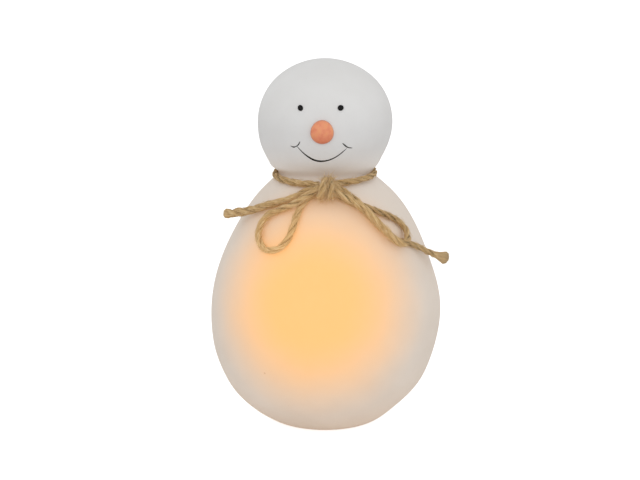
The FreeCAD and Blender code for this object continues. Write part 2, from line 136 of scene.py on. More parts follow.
# A power below 1 makes the profile of a dome a little fuller than a true round
DOME_FULLNESS = 0.9
# How far the rim of a dome goes into the head
DOME_ROOTED = 0.0003
LUMP_SIZE = 0.0022

# ---- Smile: points (x, z) of each brush stroke seen from the front, and its width at each point ----
SMILE_STROKES = [
    (
        [(-0.0112, 0.1176), (-0.0089, 0.1151), (-0.0066, 0.1132), (-0.0043, 0.1119), (-0.0016, 0.1114),
         (0.0011, 0.1118), (0.0037, 0.1129), (0.0059, 0.1144), (0.0084, 0.1166)],
        [0.0004, 0.0005, 0.0008, 0.001, 0.0009, 0.0007, 0.00055, 0.00045, 0.0003],
    ),
    (
        [(-0.0135, 0.1173), (-0.0124, 0.1169), (-0.0111, 0.1174), (-0.0103, 0.1182), (-0.0098, 0.1194)],
        [0.00025, 0.0008, 0.00035, 0.0006, 0.0003],
    ),
    (
        [(0.0067, 0.1189), (0.0076, 0.118), (0.0089, 0.117), (0.0106, 0.1166)],
        [0.0003, 0.0007, 0.00045, 0.0003],
    ),
]
PAINT_THICKNESS = 0.0001
STROKE_STEPS_PER_POINT = 12
# Each tip of a stroke takes up one part in this many of its length
STROKE_TIP_PARTS = 9
# How much the stroke's edge wavers, the size of the wavers, and the least half width it has
STROKE_RAGGED = 0.12
STROKE_RAGGED_SIZE = 0.0006
STROKE_LEAST = 0.00002
# Profile across a stroke: (place across its half width, height in paint thicknesses)
STROKE_PROFILE = ((-1.0, -1.0), (-0.6, 0.7), (0.0, 1.0), (0.6, 0.7), (1.0, -1.0))

# ---- Jute twine ----
TWINE_DIAMETER = 0.0032
# The collar lies snugly in the crease, but the bow's weight draws its front out and down. Its +X
# side is a little the higher, and it sways slightly up and down.
COLLAR_RADIUS = 0.0198
COLLAR_HEIGHT = 0.1029
COLLAR_DRAWN_OUT = 0.0023
COLLAR_DRAWN_DOWN = 0.0012
COLLAR_ROLL = 0.0005
COLLAR_SWAY = 0.0002
COLLAR_POINTS = 26
COLLAR_START = math.radians(7)
# How thick each strand is along its length, as a share of the twine's ordinary thickness:
# pairs of (share of the length, thickness)
COLLAR_SPREAD = [(0, 0.85), (0.12, 0.76), (0.25, 0.68), (0.75, 0.68), (0.85, 0.82), (1, 0.9)]
LOOP_LEFT_SPREAD = [(0, 0.88), (1, 0.88)]
LOOP_RIGHT_SPREAD = [
    (0, 0.88), (0.3, 0.78), (0.44, 0.76), (0.54, 0.92), (0.68, 1.0), (0.82, 0.95), (1, 0.88),
]
TAIL_LEFT_SPREAD = [(0, 0.9), (0.5, 0.98), (0.8, 1.12), (0.95, 1.15), (1, 1.3)]
TAIL_RIGHT_SPREAD = [(0, 0.85), (0.3, 0.8), (0.5, 0.85), (0.66, 0.72), (0.86, 0.74), (1, 1.0)]
# Points that each strand of the bow follows, out of the knot and, for a loop, back into it
BOW_ROUTES = {
    "bow_tail_left": [
        (-0.002, -0.0241, 0.101), (-0.0055, -0.0239, 0.1001), (-0.009, -0.0244, 0.0987),
        (-0.0119, -0.0246, 0.0972), (-0.0153, -0.0242, 0.0959), (-0.0193, -0.0228, 0.0945),
        (-0.0238, -0.0203, 0.0929), (-0.0278, -0.0176, 0.0909), (-0.0322, -0.014, 0.0893),
        (-0.0362, -0.0109, 0.0882), (-0.0394, -0.0082, 0.0872),
    ],
    "bow_loop_left": [
        (-0.002, -0.0284, 0.1016), (-0.0057, -0.0291, 0.0997), (-0.009, -0.0299, 0.0976),
        (-0.0122, -0.0291, 0.0954), (-0.0155, -0.0273, 0.0937), (-0.0188, -0.0259, 0.0921),
        (-0.022, -0.0248, 0.0906), (-0.0242, -0.0249, 0.0883), (-0.0255, -0.0257, 0.0858),
        (-0.0261, -0.027, 0.0834), (-0.0259, -0.0289, 0.081), (-0.0248, -0.031, 0.079),
        (-0.0229, -0.033, 0.0779), (-0.0203, -0.0347, 0.078), (-0.0176, -0.0355, 0.0791),
        (-0.0154, -0.0354, 0.0813), (-0.0138, -0.0347, 0.0838), (-0.0125, -0.0334, 0.0868),
        (-0.0115, -0.0317, 0.0897), (-0.0105, -0.03, 0.0924), (-0.0092, -0.0281, 0.095),
        (-0.0071, -0.0267, 0.0971), (-0.0043, -0.0259, 0.0986), (-0.0016, -0.0257, 0.0995),
    ],
    "bow_loop_right": [
        (0.0023, -0.0258, 0.1029), (0.0065, -0.0269, 0.1005), (0.0099, -0.0275, 0.0983),
        (0.0124, -0.028, 0.0964), (0.015, -0.0285, 0.0945), (0.0187, -0.0266, 0.0926),
        (0.0233, -0.0238, 0.0904), (0.0278, -0.0211, 0.0878), (0.0312, -0.0194, 0.0846),
        (0.0326, -0.0217, 0.0818), (0.0324, -0.0263, 0.0796), (0.0298, -0.0303, 0.0796),
        (0.027, -0.0313, 0.0819), (0.0243, -0.0313, 0.0846), (0.0218, -0.0314, 0.0871),
        (0.019, -0.0317, 0.0901), (0.0159, -0.0318, 0.0937), (0.0121, -0.0319, 0.0962),
        (0.0084, -0.0312, 0.0984), (0.005, -0.0304, 0.1), (0.0023, -0.0292, 0.1012),
    ],
    "bow_tail_right": [
        (0.0015, -0.0251, 0.1004), (0.0039, -0.0255, 0.0987), (0.0062, -0.0259, 0.0975),
        (0.0089, -0.0264, 0.0961), (0.0125, -0.0268, 0.0943), (0.0154, -0.0271, 0.0924),
        (0.0181, -0.0279, 0.0895), (0.0211, -0.0284, 0.0863), (0.024, -0.0279, 0.0837),
        (0.0272, -0.0269, 0.0809), (0.03, -0.0249, 0.0795), (0.0329, -0.022, 0.0783),
        (0.0364, -0.0182, 0.0762), (0.0402, -0.016, 0.0738), (0.0438, -0.0126, 0.0715),
        (0.048, -0.0094, 0.0694),
    ],
}
# The two turns of the knot, side by side over the front of the bow
KNOT_ROUTES = [
    [
        (0.0005, -0.023, 0.1028), (0.0005, -0.0257, 0.1044), (0.0001, -0.0292, 0.1044),
        (-0.0007, -0.0316, 0.1028), (-0.0015, -0.0321, 0.1007), (-0.002, -0.0308, 0.0988),
        (-0.0019, -0.0284, 0.0982), (-0.0016, -0.0266, 0.099),
    ],
    [
        (0.0016, -0.0232, 0.1028), (0.0019, -0.0257, 0.1043), (0.0021, -0.0286, 0.1041),
        (0.002, -0.0308, 0.1027), (0.0019, -0.0315, 0.1006), (0.0021, -0.0307, 0.0987),
        (0.0021, -0.0285, 0.0981), (0.002, -0.0268, 0.0989),
    ],
]
KNOT_SEED = 21
PLIES = 3
PLY_RADIUS = 0.00090
PLY_OFFSET = 0.00070
TWIST_PITCH = 0.016
# The twist runs ahead and behind by this many radians, over this length
TWIST_WANDER = 0.35
TWIST_WANDER_LENGTH = 0.0047
# Slow and quick swelling of each ply: share of its thickness, and length of the wave
SLOW_SWELL = 0.08
SLOW_SWELL_LENGTH = 0.0029
QUICK_SWELL = 0.05
QUICK_SWELL_LENGTH = 0.0013
# Ridges that the bundles of fibres make along a ply, and the fewer grooves that part them
FIBRE_BUNDLES = 7
BUNDLE_PITCH = 0.0085
BUNDLE_RELIEF = 0.055
GROOVES = 3
GROOVE_PITCH_SHARE = 0.7
GROOVE_RELIEF = 0.035
LINE_STEP = 0.00045
PLY_SIDES = 18
# A direction that no strand sets out along
ASKEW = (0.31, 0.17, 0.93)

# ---- Loose fibres ----
STRAY_FIBRES_PER_METRE = 8500
KNOT_FUZZ = 2.6
FIBRE_POINTS = 6
FIBRE_SIDES = 3
# Where a stray fibre leaves the twine, as a distance from its middle; its length; how far it lifts,
# at least and beyond that; how far it strays sideways
STRAY_ROOT = 0.0013
STRAY_LENGTH = (0.0014, 0.0042)
STRAY_LIFT_LEAST = 0.0001
STRAY_LIFT_SPAN = 0.0012
STRAY_MIDDLE_SIDEWAYS = 0.0007
STRAY_END_SIDEWAYS = 0.0009
STRAY_THICKNESS = (0.00004, 0.00009)
# How far out the fibres of a cut end are where they fray and half-way to the tip, how far past the
# tip they stick out, and how thick they are
CUT_ROOT = 0.0010
CUT_HALF_WAY = 0.0014
CUT_PAST_TIP = (0.0001, 0.0004)
CUT_THICKNESS = (0.00007, 0.00015)

# ---- Attributes that the jute material reads ----
# The grain attribute counts this length along a strand as 1, and each tube's is shifted at random
GRAIN_LENGTH = 0.01
GRAIN_SHIFT = 40
# The depth attribute runs from 0 at the middle of the twine to about 1 at its surface; this value
# marks a loose fibre
LOOSE = 2.0

# ---- Light ----
# How near to the glow the twine gets painted glow light, from none to full, and how strongly
TWINE_LIT_BAND = (0.050, 0.016)
TWINE_LIT = 0.30
# The sky and the floor look brighter to the camera than they light the object
SKY_LIGHT = 0.75
SKY_SEEN = 1.1
FLOOR_LIGHT = 0.11
FLOOR_SEEN = 0.75
FLOOR_REACH = 6.0
# A hair below the foot, so that the two faces don't coincide
FLOOR_LEVEL = -0.0001
# How far the sharp edges of the moulded and metal parts look rounded
EDGE_ROUNDING = 0.00018


# The cut end of a strand: how many fibres show, over what length they fray, and how far out
Cut = namedtuple("Cut", "fibres frayed reach")


# ---- Meshes ----

def new_piece(name, points, faces, material, stands_for):
    """Smooth-shaded piece that rides on the figure and stands for the CAD nodes that it replaces."""
    mesh = bpy.data.meshes.new(name)
    mesh.from_pydata([tuple(point) for point in points], [], faces)
    shape = bmesh.new()
    shape.from_mesh(mesh)
    bmesh.ops.recalc_face_normals(shape, faces=shape.faces)
    shape.to_mesh(mesh)
    shape.free()
    mesh.shade_smooth()
    mesh.materials.append(material)
    piece = bpy.data.objects.new(name, mesh)
    bpy.context.scene.collection.objects.link(piece)
    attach(piece, "figure")
    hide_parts(*stands_for)
    return piece


def band_between(low, high, count):
    """Faces of the closed band between two rings of count vertices that start at low and at high."""
    faces = []
    for i in range(count):
        following = (i + 1) % count
        faces.append((low + i, low + following, high + following, high + i))
    return faces


def smooth_between(low, high, value):
    """0 below low, 1 above high, and a smooth step between them."""
    share = min(max((value - low) / (high - low), 0.0), 1.0)
    return share * share * (3 - 2 * share)


def curve_through(points, first_tangent, last_tangent, steps):
    """Points on the smooth cubic curve through the given ones, with its two end tangents."""
    points = np.array(points, float)
    runs = np.linalg.norm(np.diff(points, axis=0), axis=1)
    count = len(points)
    matrix = np.eye(count)
    slopes = np.zeros_like(points)
    slopes[0] = first_tangent
    slopes[-1] = last_tangent
    for i in range(1, count - 1):
        before, after = 1 / runs[i - 1], 1 / runs[i]
        matrix[i, i - 1:i + 2] = before, 2 * (before + after), after
        slopes[i] = (
            3 * (points[i] - points[i - 1]) * before ** 2
            + 3 * (points[i + 1] - points[i]) * after ** 2
        )
    slopes = np.linalg.solve(matrix, slopes)
    ends = np.concatenate([[0.0], np.cumsum(runs)])
    curve = []
    for place in np.linspace(0, ends[-1], steps):
        i = min(int(np.searchsorted(ends, place, side="right")) - 1, count - 2)
        run = runs[i]
        t = (place - ends[i]) / run
        curve.append(
            points[i] * (1 + 2 * t) * (1 - t) ** 2
            + slopes[i] * run * t * (1 - t) ** 2
            + points[i + 1] * t ** 2 * (3 - 2 * t)
            + slopes[i + 1] * run * t ** 2 * (t - 1)
        )
    return np.array(curve)


# ---- Porcelain figure ----

def body_and_head(inset, body_steps, head_steps):
    """(radius, height) outline from the foot to the crown, moved inwards by inset."""
    head_radius = HEAD_RADIUS - inset
    half_height = HEAD_HALF_HEIGHT - inset
    neck_radius = NECK_RADIUS - inset
    neck = -math.acos(neck_radius / head_radius)
    crease = np.array([neck_radius, HEAD_CENTRE_Z + half_height * math.sin(neck)])
    outer_neck = -math.acos(NECK_RADIUS / HEAD_RADIUS)
    outer_crease = (NECK_RADIUS, HEAD_CENTRE_Z + HEAD_HALF_HEIGHT * math.sin(outer_neck))
    knots = [(FOOT_RADIUS, 0.0)] + BODY_OUTLINE + [outer_crease]
    last_run = np.subtract(knots[-1], knots[-2])
    body = curve_through(knots, (1.0, 0.0), last_run / np.linalg.norm(last_run), body_steps)
    along = np.gradient(body, axis=0)
    along /= np.linalg.norm(along, axis=1)[:, None]
    body = body + inset * np.stack([-along[:, 1], along[:, 0]], axis=1)
    body = body[body[:, 1] < crease[1] - CREASE_BLEND]
    angles = np.linspace(neck, math.pi / 2, head_steps)
    head = np.stack([head_radius * np.cos(angles), HEAD_CENTRE_Z + half_height * np.sin(angles)], axis=1)
    head = head[head[:, 1] > crease[1] + CREASE_BLEND]
    t = np.linspace(0, 1, CREASE_POINTS)[1:-1, None]
    blend = body[-1] * (1 - t) ** 2 + crease * 2 * t * (1 - t) + head[0] * t ** 2
    return np.concatenate([body, blend, head])


def shell_outline():
    """Closed outline of the wall, from the foot up the outside and down the inside."""
    outer = body_and_head(0.0, *OUTSIDE_STEPS)
    inner = body_and_head(WALL, *INSIDE_STEPS)
    inner = inner[inner[:, 1] > FOOT_THICKNESS]
    foot = [(RECESS_RADIUS + RECESS_CHAMFER, 0.0)]
    mouth = [
        (BORE_RADIUS + BORE_CHAMFER, FOOT_THICKNESS),
        (BORE_RADIUS, FOOT_THICKNESS - BORE_CHAMFER),
        (BORE_RADIUS, RECESS_DEPTH),
        (RECESS_RADIUS, RECESS_DEPTH),
        (RECESS_RADIUS, RECESS_CHAMFER),
    ]
    return np.concatenate([foot, outer, inner[::-1], mouth])


def flattened(azimuth, height):
    """How much nearer to the axis the hand-finished wall is than a true round."""
    depth = 0.0
    for place, middle, spread, most in FLAT_PLACES:
        facing = max(0.0, math.cos(azimuth - math.radians(place)))
        depth += most * facing ** 2 * math.exp(-((height - middle) / spread) ** 2)
    return depth


def ceramic_figure(material):
    """The hollow casting: its outline turned round the axis, less the flats of hand finishing."""
    points = []
    rings = []
    for radius, height in shell_outline():
        sunk = CROWN_SUNK * smooth_between(HEAD_CENTRE_Z + HEAD_HALF_HEIGHT / 2, CROWN_Z, height)
        if radius < ON_AXIS:
            rings.append([len(points)] * FIGURE_SEGMENTS)
            points.append((0.0, 0.0, height - sunk))
            continue
        rings.append(range(len(points), len(points) + FIGURE_SEGMENTS))
        above_foot = smooth_between(0.0, ROUND_FOOT_HEIGHT, height)
        for step in range(FIGURE_SEGMENTS):
            azimuth = 2 * math.pi * step / FIGURE_SEGMENTS
            reach = radius - above_foot * flattened(azimuth, height)
            points.append((reach * math.cos(azimuth), reach * math.sin(azimuth), height - sunk))
    faces = []
    for ring, above in zip(rings, rings[1:] + rings[:1]):
        for step in range(FIGURE_SEGMENTS):
            following = (step + 1) % FIGURE_SEGMENTS
            # A corner on the axis comes twice and is kept once
            corners = tuple(dict.fromkeys((ring[step], ring[following], above[following], above[step])))
            if len(corners) > 2:
                faces.append(corners)
    figure = new_piece("snowman_figure", points, faces, material, ["ceramic_shell"])
    figure.data.set_sharp_from_angle(angle=SHARP_EDGE)


# ---- Face ----

def on_head(x, z):
    """Point on the front of the head, and the outward direction there."""
    rise = (z - HEAD_CENTRE_Z) / HEAD_HALF_HEIGHT
    depth = HEAD_RADIUS * math.sqrt(1 - rise ** 2 - (x / HEAD_RADIUS) ** 2)
    outward = Vector((x / HEAD_RADIUS ** 2, -depth / HEAD_RADIUS ** 2, rise / HEAD_HALF_HEIGHT))
    return Vector((x, -depth, z)), outward.normalized()


def dome(name, material, half_sizes, proud, narrowing=0.0, lumps=0.0):
    """Rounded button on the face in the place of a CAD dome; its top may be narrower."""
    low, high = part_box(name)
    centre = (low + high) / 2
    points = []
    for ring in range(DOME_RINGS + 1):
        angle = math.pi / 2 * ring / DOME_RINGS
        reach = math.sin(angle)
        height = proud * math.cos(angle) ** DOME_FULLNESS if ring < DOME_RINGS else -DOME_ROOTED
        for step in range(DOME_SEGMENTS if ring > 0 else 1):
            turn = 2 * math.pi * step / DOME_SEGMENTS
            across = reach * math.cos(turn) * half_sizes[0] * (1 - narrowing * math.sin(turn))
            up = reach * math.sin(turn) * half_sizes[1]
            point, outward = on_head(centre.x + across, centre.z + up)
            lump = lumps * noise.noise(point / LUMP_SIZE)
            points.append(point + outward * (height + lump))
    faces = [(0, 1 + step, 1 + (step + 1) % DOME_SEGMENTS) for step in range(DOME_SEGMENTS)]
    for ring in range(DOME_RINGS - 1):
        start = 1 + ring * DOME_SEGMENTS
        faces += band_between(start, start + DOME_SEGMENTS, DOME_SEGMENTS)
    faces.append(tuple(range(len(points) - DOME_SEGMENTS, len(points))))
    new_piece(name + "_glaze", points, faces, material, [name])


def brush_stroke(points, widths):
    """Thin raised ribbon on the head, as vertices and faces; it is pointed at both ends."""
    steps = STROKE_STEPS_PER_POINT * len(points)
    ends = [np.subtract(points[1], points[0]), np.subtract(points[-1], points[-2])]
    tangents = [end / np.linalg.norm(end) for end in ends]
    line = curve_through(points, tangents[0], tangents[1], steps)
    spots = np.linspace(0, len(points) - 1, steps)
    width = np.interp(spots, range(len(points)), widths)
    from_start = np.linspace(0, STROKE_TIP_PARTS, steps)
    from_end = np.linspace(STROKE_TIP_PARTS, 0, steps)
    tip = np.minimum(from_start, from_end).clip(0, 1) ** 0.5
    along = np.gradient(line, axis=0)
    along /= np.linalg.norm(along, axis=1)[:, None]
    vertices = []
    for (x, z), (dx, dz), half, narrow in zip(line, along, width / 2, tip):
        for across, height in STROKE_PROFILE:
            ragged = 1 + STROKE_RAGGED * noise.noise(Vector((x, across, z)) / STROKE_RAGGED_SIZE)
            reach = across * half * narrow * ragged + across * STROKE_LEAST
            point, outward = on_head(x - dz * reach, z + dx * reach)
            vertices.append(point + outward * PAINT_THICKNESS * height)
    count = len(STROKE_PROFILE)
    faces = []
    for start in range(0, (steps - 1) * count, count):
        faces += band_between(start, start + count, count)
    faces.append(tuple(range(count)))
    faces.append(tuple(range((steps - 1) * count, steps * count)))
    return vertices, faces


def smile(material):
    """The mouth and the tick at each cheek, in one piece."""
    vertices = []
    faces = []
    for points, widths in SMILE_STROKES:
        stroke_vertices, stroke_faces = brush_stroke(points, widths)
        start = len(vertices)
        vertices += stroke_vertices
        faces += [tuple(start + corner for corner in face) for face in stroke_faces]
    new_piece("smile_strokes", vertices, faces, material, ["painted_smile"])


# ---- Twine ----

def distances_along(line):
    """How far along the line each of its points is."""
    return np.concatenate([[0.0], np.cumsum(np.linalg.norm(np.diff(line, axis=0), axis=1))])


def nurbs_line(points):
    """Evenly spaced points along the smooth NURBS curve with the given control points."""
    data = bpy.data.curves.new("route", "CURVE")
    data.dimensions = "3D"
    data.resolution_u = 16
    spline = data.splines.new("NURBS")
    spline.points.add(len(points) - 1)
    for control, point in zip(spline.points, points):
        control.co = (*point, 1.0)
    spline.order_u = 3
    spline.use_endpoint_u = True
    route = bpy.data.objects.new("route", data)
    mesh = bpy.data.meshes.new_from_object(route)
    fine = np.array([vertex.co for vertex in mesh.vertices], float)
    bpy.data.objects.remove(route)
    bpy.data.curves.remove(data)
    bpy.data.meshes.remove(mesh)
    reached = distances_along(fine)
    spots = np.linspace(0, reached[-1], int(reached[-1] / LINE_STEP) + 1)
    return np.stack([np.interp(spots, reached, fine[:, axis]) for axis in range(3)], axis=1)


def frames_along(line):
    """Unit tangents, and two normals carried along the line without turning about it."""
    tangents = np.gradient(line, axis=0)
    tangents /= np.linalg.norm(tangents, axis=1)[:, None]
    normal = np.cross(tangents[0], ASKEW)
    normals = []
    for tangent in tangents:
        normal = normal - tangent * (normal @ tangent)
        normal = normal / np.linalg.norm(normal)
        normals.append(normal)
    normals = np.array(normals)
    return tangents, normals, np.cross(tangents, normals)


class Fibres:
    """Many tubes gathered into one mesh, with the attributes that the jute material reads."""

    def __init__(self):
        self.points = []
        self.faces = []
        self.grain = []
        self.depth = []

    def add_tube(self, line, radii, rng, core=None):
        """One tube; radii has a row for each point of the line and a column for each side.

        core is the line of the twine that the tube is a ply of; a loose fibre has none.
        """
        _, normals, binormals = frames_along(line)
        rows, sides = radii.shape
        angles = np.linspace(0, 2 * math.pi, sides, endpoint=False)
        across = normals[:, None] * np.cos(angles)[:, None] + binormals[:, None] * np.sin(angles)[:, None]
        rings = line[:, None] + across * radii[:, :, None]
        start = len(self.points)
        reached = distances_along(line)
        self.points += rings.reshape(-1, 3).tolist()
        grain = np.zeros((rows, sides, 3))
        grain[:, :, 0] = np.cos(angles)
        grain[:, :, 1] = np.sin(angles)
        grain[:, :, 2] = reached[:, None] / GRAIN_LENGTH
        shift = np.array([rng.uniform(-GRAIN_SHIFT, GRAIN_SHIFT) for _ in range(3)])
        self.grain += (grain + shift).reshape(-1, 3).tolist()
        if core is None:
            depth = np.full((rows, sides), LOOSE)
        else:
            depth = np.linalg.norm(rings - core[:, None], axis=2) / (TWINE_DIAMETER / 2)
        self.depth += depth.reshape(-1).tolist()
        for row in range(rows - 1):
            low = start + row * sides
            self.faces += band_between(low, low + sides, sides)
        self.faces.append(tuple(range(start, start + sides)))
        self.faces.append(tuple(range(start + (rows - 1) * sides, start + rows * sides)))

    def piece(self, name, material, stands_for):
        """The finished piece, with its grain and depth attributes."""
        made = new_piece(name, self.points, self.faces, material, stands_for)
        grain = made.data.attributes.new("grain", "FLOAT_VECTOR", "POINT")
        grain.data.foreach_set("vector", np.array(self.grain, np.float32).reshape(-1))
        depth = made.data.attributes.new("depth", "FLOAT", "POINT")
        depth.data.foreach_set("value", np.array(self.depth, np.float32))
        return made


def add_plies(fibres, line, spread, rng):
    """Three loosely twisted plies; spread widens or narrows the twine along its length."""
    reached = distances_along(line)
    _, normals, binormals = frames_along(line)
    wander = rng.uniform(0, 2 * math.pi)
    start_turn = rng.uniform(0, 2 * math.pi)
    angles = np.linspace(0, 2 * math.pi, PLY_SIDES, endpoint=False)
    for ply in range(PLIES):
        turn = start_turn + 2 * math.pi * (ply / PLIES + reached / TWIST_PITCH)
        turn = turn + TWIST_WANDER * np.sin(reached / TWIST_WANDER_LENGTH + wander + 2 * ply)
        slow = SLOW_SWELL * np.sin(reached / SLOW_SWELL_LENGTH + rng.uniform(0, 6))
        quick = QUICK_SWELL * np.sin(reached / QUICK_SWELL_LENGTH + ply)
        swell = 1 + slow + quick
        out = np.cos(turn)[:, None] * normals + np.sin(turn)[:, None] * binormals
        ply_line = line + out * (PLY_OFFSET * spread * (2 - swell))[:, None]
        bundle_turn = 2 * math.pi * reached / BUNDLE_PITCH + rng.uniform(0, 6)
        bundles = np.cos(FIBRE_BUNDLES * angles[None] - bundle_turn[:, None])
        grooves = np.cos(GROOVES * angles[None] + GROOVE_PITCH_SHARE * bundle_turn[:, None])
        relief = 1 + BUNDLE_RELIEF * bundles + GROOVE_RELIEF * grooves
        fibres.add_tube(ply_line, PLY_RADIUS * (spread * swell)[:, None] * relief, rng, core=line)


def add_fibre(fibres, start, middle, end, thickness, rng, taper=0.7):
    """One fibre along the curve from start to end, bent towards middle and thinner at its end."""
    t = np.linspace(0, 1, FIBRE_POINTS)[:, None]
    line = start * (1 - t) ** 2 + middle * 2 * t * (1 - t) + end * t ** 2
    fibres.add_tube(line, thickness * np.repeat(1.05 - taper * t, FIBRE_SIDES, axis=1), rng)


def add_stray_fibres(fibres, line, spread, rng, fuzz=1.0):
    """Fibres that lie along the twine and lift a little out of it; fuzz makes more of them, and looser."""
    tangents, normals, binormals = frames_along(line)
    length = distances_along(line)[-1]
    for _ in range(int(length * STRAY_FIBRES_PER_METRE * fuzz)):
        i = rng.randrange(2, len(line) - 2)
        turn = rng.uniform(0, 2 * math.pi)
        out = math.cos(turn) * normals[i] + math.sin(turn) * binormals[i]
        side = -math.sin(turn) * normals[i] + math.cos(turn) * binormals[i]
        along = tangents[i] * rng.choice((-1, 1)) * rng.uniform(*STRAY_LENGTH)
        lift = fuzz * (STRAY_LIFT_LEAST + STRAY_LIFT_SPAN * rng.random() ** 2.4)
        start = line[i] + out * STRAY_ROOT * spread[i]
        middle = start + along * 0.5 + out * lift * rng.uniform(0.2, 0.9)
        middle = middle + side * rng.uniform(-STRAY_MIDDLE_SIDEWAYS, STRAY_MIDDLE_SIDEWAYS)
        end = start + along * 0.9 + out * lift * 0.8
        end = end + side * rng.uniform(-STRAY_END_SIDEWAYS, STRAY_END_SIDEWAYS)
        add_fibre(fibres, start, middle, end, rng.uniform(*STRAY_THICKNESS), rng)


def add_cut_end(fibres, line, cut, rng):
    """Cut fibres that fan out to a blunt end, as from scissors."""
    tangents, normals, binormals = frames_along(line)
    reached = distances_along(line)
    tip = len(line) - 1
    for _ in range(cut.fibres):
        turn = rng.uniform(0, 2 * math.pi)
        # Most of the fibres that show are near the outside of the twine
        share = rng.random() ** 0.3
        back = cut.frayed * rng.uniform(0.75, 1.0)
        root = int(np.searchsorted(reached, reached[-1] - back))
        half = (root + tip) // 2
        out = [math.cos(turn) * normals[i] + math.sin(turn) * binormals[i] for i in (root, half, tip)]
        start = line[root] + out[0] * share * CUT_ROOT
        middle = line[half] + out[1] * share * CUT_HALF_WAY
        end = line[tip] + out[2] * share * cut.reach + tangents[tip] * rng.uniform(*CUT_PAST_TIP)
        add_fibre(fibres, start, middle, end, rng.uniform(*CUT_THICKNESS), rng, taper=0.1)


def strand(name, route, material, stands_for, seed, spread_at, cut=None):
    """One length of twine along a route. Returns the piece and the line it follows."""
    rng = random.Random(seed)
    line = nurbs_line(route)
    spread = np.interp(np.linspace(0, 1, len(line)), *zip(*spread_at))
    fibres = Fibres()
    add_plies(fibres, line, spread, rng)
    add_stray_fibres(fibres, line, spread, rng)
    if cut:
        add_cut_end(fibres, line, cut, rng)
    return fibres.piece(name, material, stands_for), line


def collar_route():
    """One turn round the neck, from inside the knot to inside the knot."""
    points = []
    for step in range(COLLAR_POINTS):
        turn = COLLAR_START + (2 * math.pi - 2 * COLLAR_START) * step / (COLLAR_POINTS - 1)
        forward = max(0.0, math.cos(turn))
        sway = COLLAR_SWAY * math.sin(3 * turn + 1)
        reach = COLLAR_RADIUS + COLLAR_DRAWN_OUT * forward ** 0.7 + max(0.0, sway)
        height = COLLAR_HEIGHT - COLLAR_DRAWN_DOWN * forward ** 3 + COLLAR_ROLL * math.sin(turn) + sway
        points.append(Vector((reach * math.sin(turn), -reach * math.cos(turn), height)))
    return points


def knot(material):
    """The bow's knot: two turns of twine side by side, in one piece."""
    rng = random.Random(KNOT_SEED)
    fibres = Fibres()
    for route in KNOT_ROUTES:
        line = nurbs_line(route)
        spread = np.ones(len(line))
        add_plies(fibres, line, spread, rng)
        add_stray_fibres(fibres, line, spread, rng, KNOT_FUZZ)
    return fibres.piece("bow_knot", material, ["twine_knot"])


def twine(material):
    """The collar, the knot and the bow, each strand its own piece."""
    tied = knot(material)
    collar, line = strand("neck_twine", collar_route(), material, ["twine_collar"], 11, COLLAR_SPREAD)
    # Name, seed, thickness along it and, for a tail, its cut end
    loops = (
        ("bow_loop_left", 12, LOOP_LEFT_SPREAD),
        ("bow_loop_right", 13, LOOP_RIGHT_SPREAD),
    )
    for name, seed, spread_at in loops:
        loop, line = strand(name + "_twine", BOW_ROUTES[name], material, [name], seed, spread_at)
    tails = (
        ("bow_tail_left", 14, TAIL_LEFT_SPREAD, Cut(fibres=260, frayed=0.003, reach=0.0018)),
        ("bow_tail_right", 15, TAIL_RIGHT_SPREAD, Cut(fibres=420, frayed=0.0072, reach=0.0026)),
    )
    for name, seed, spread_at, cut in tails:
        tail, line = strand(name + "_twine", BOW_ROUTES[name], material, [name], seed, spread_at, cut)


# ---- Materials ----

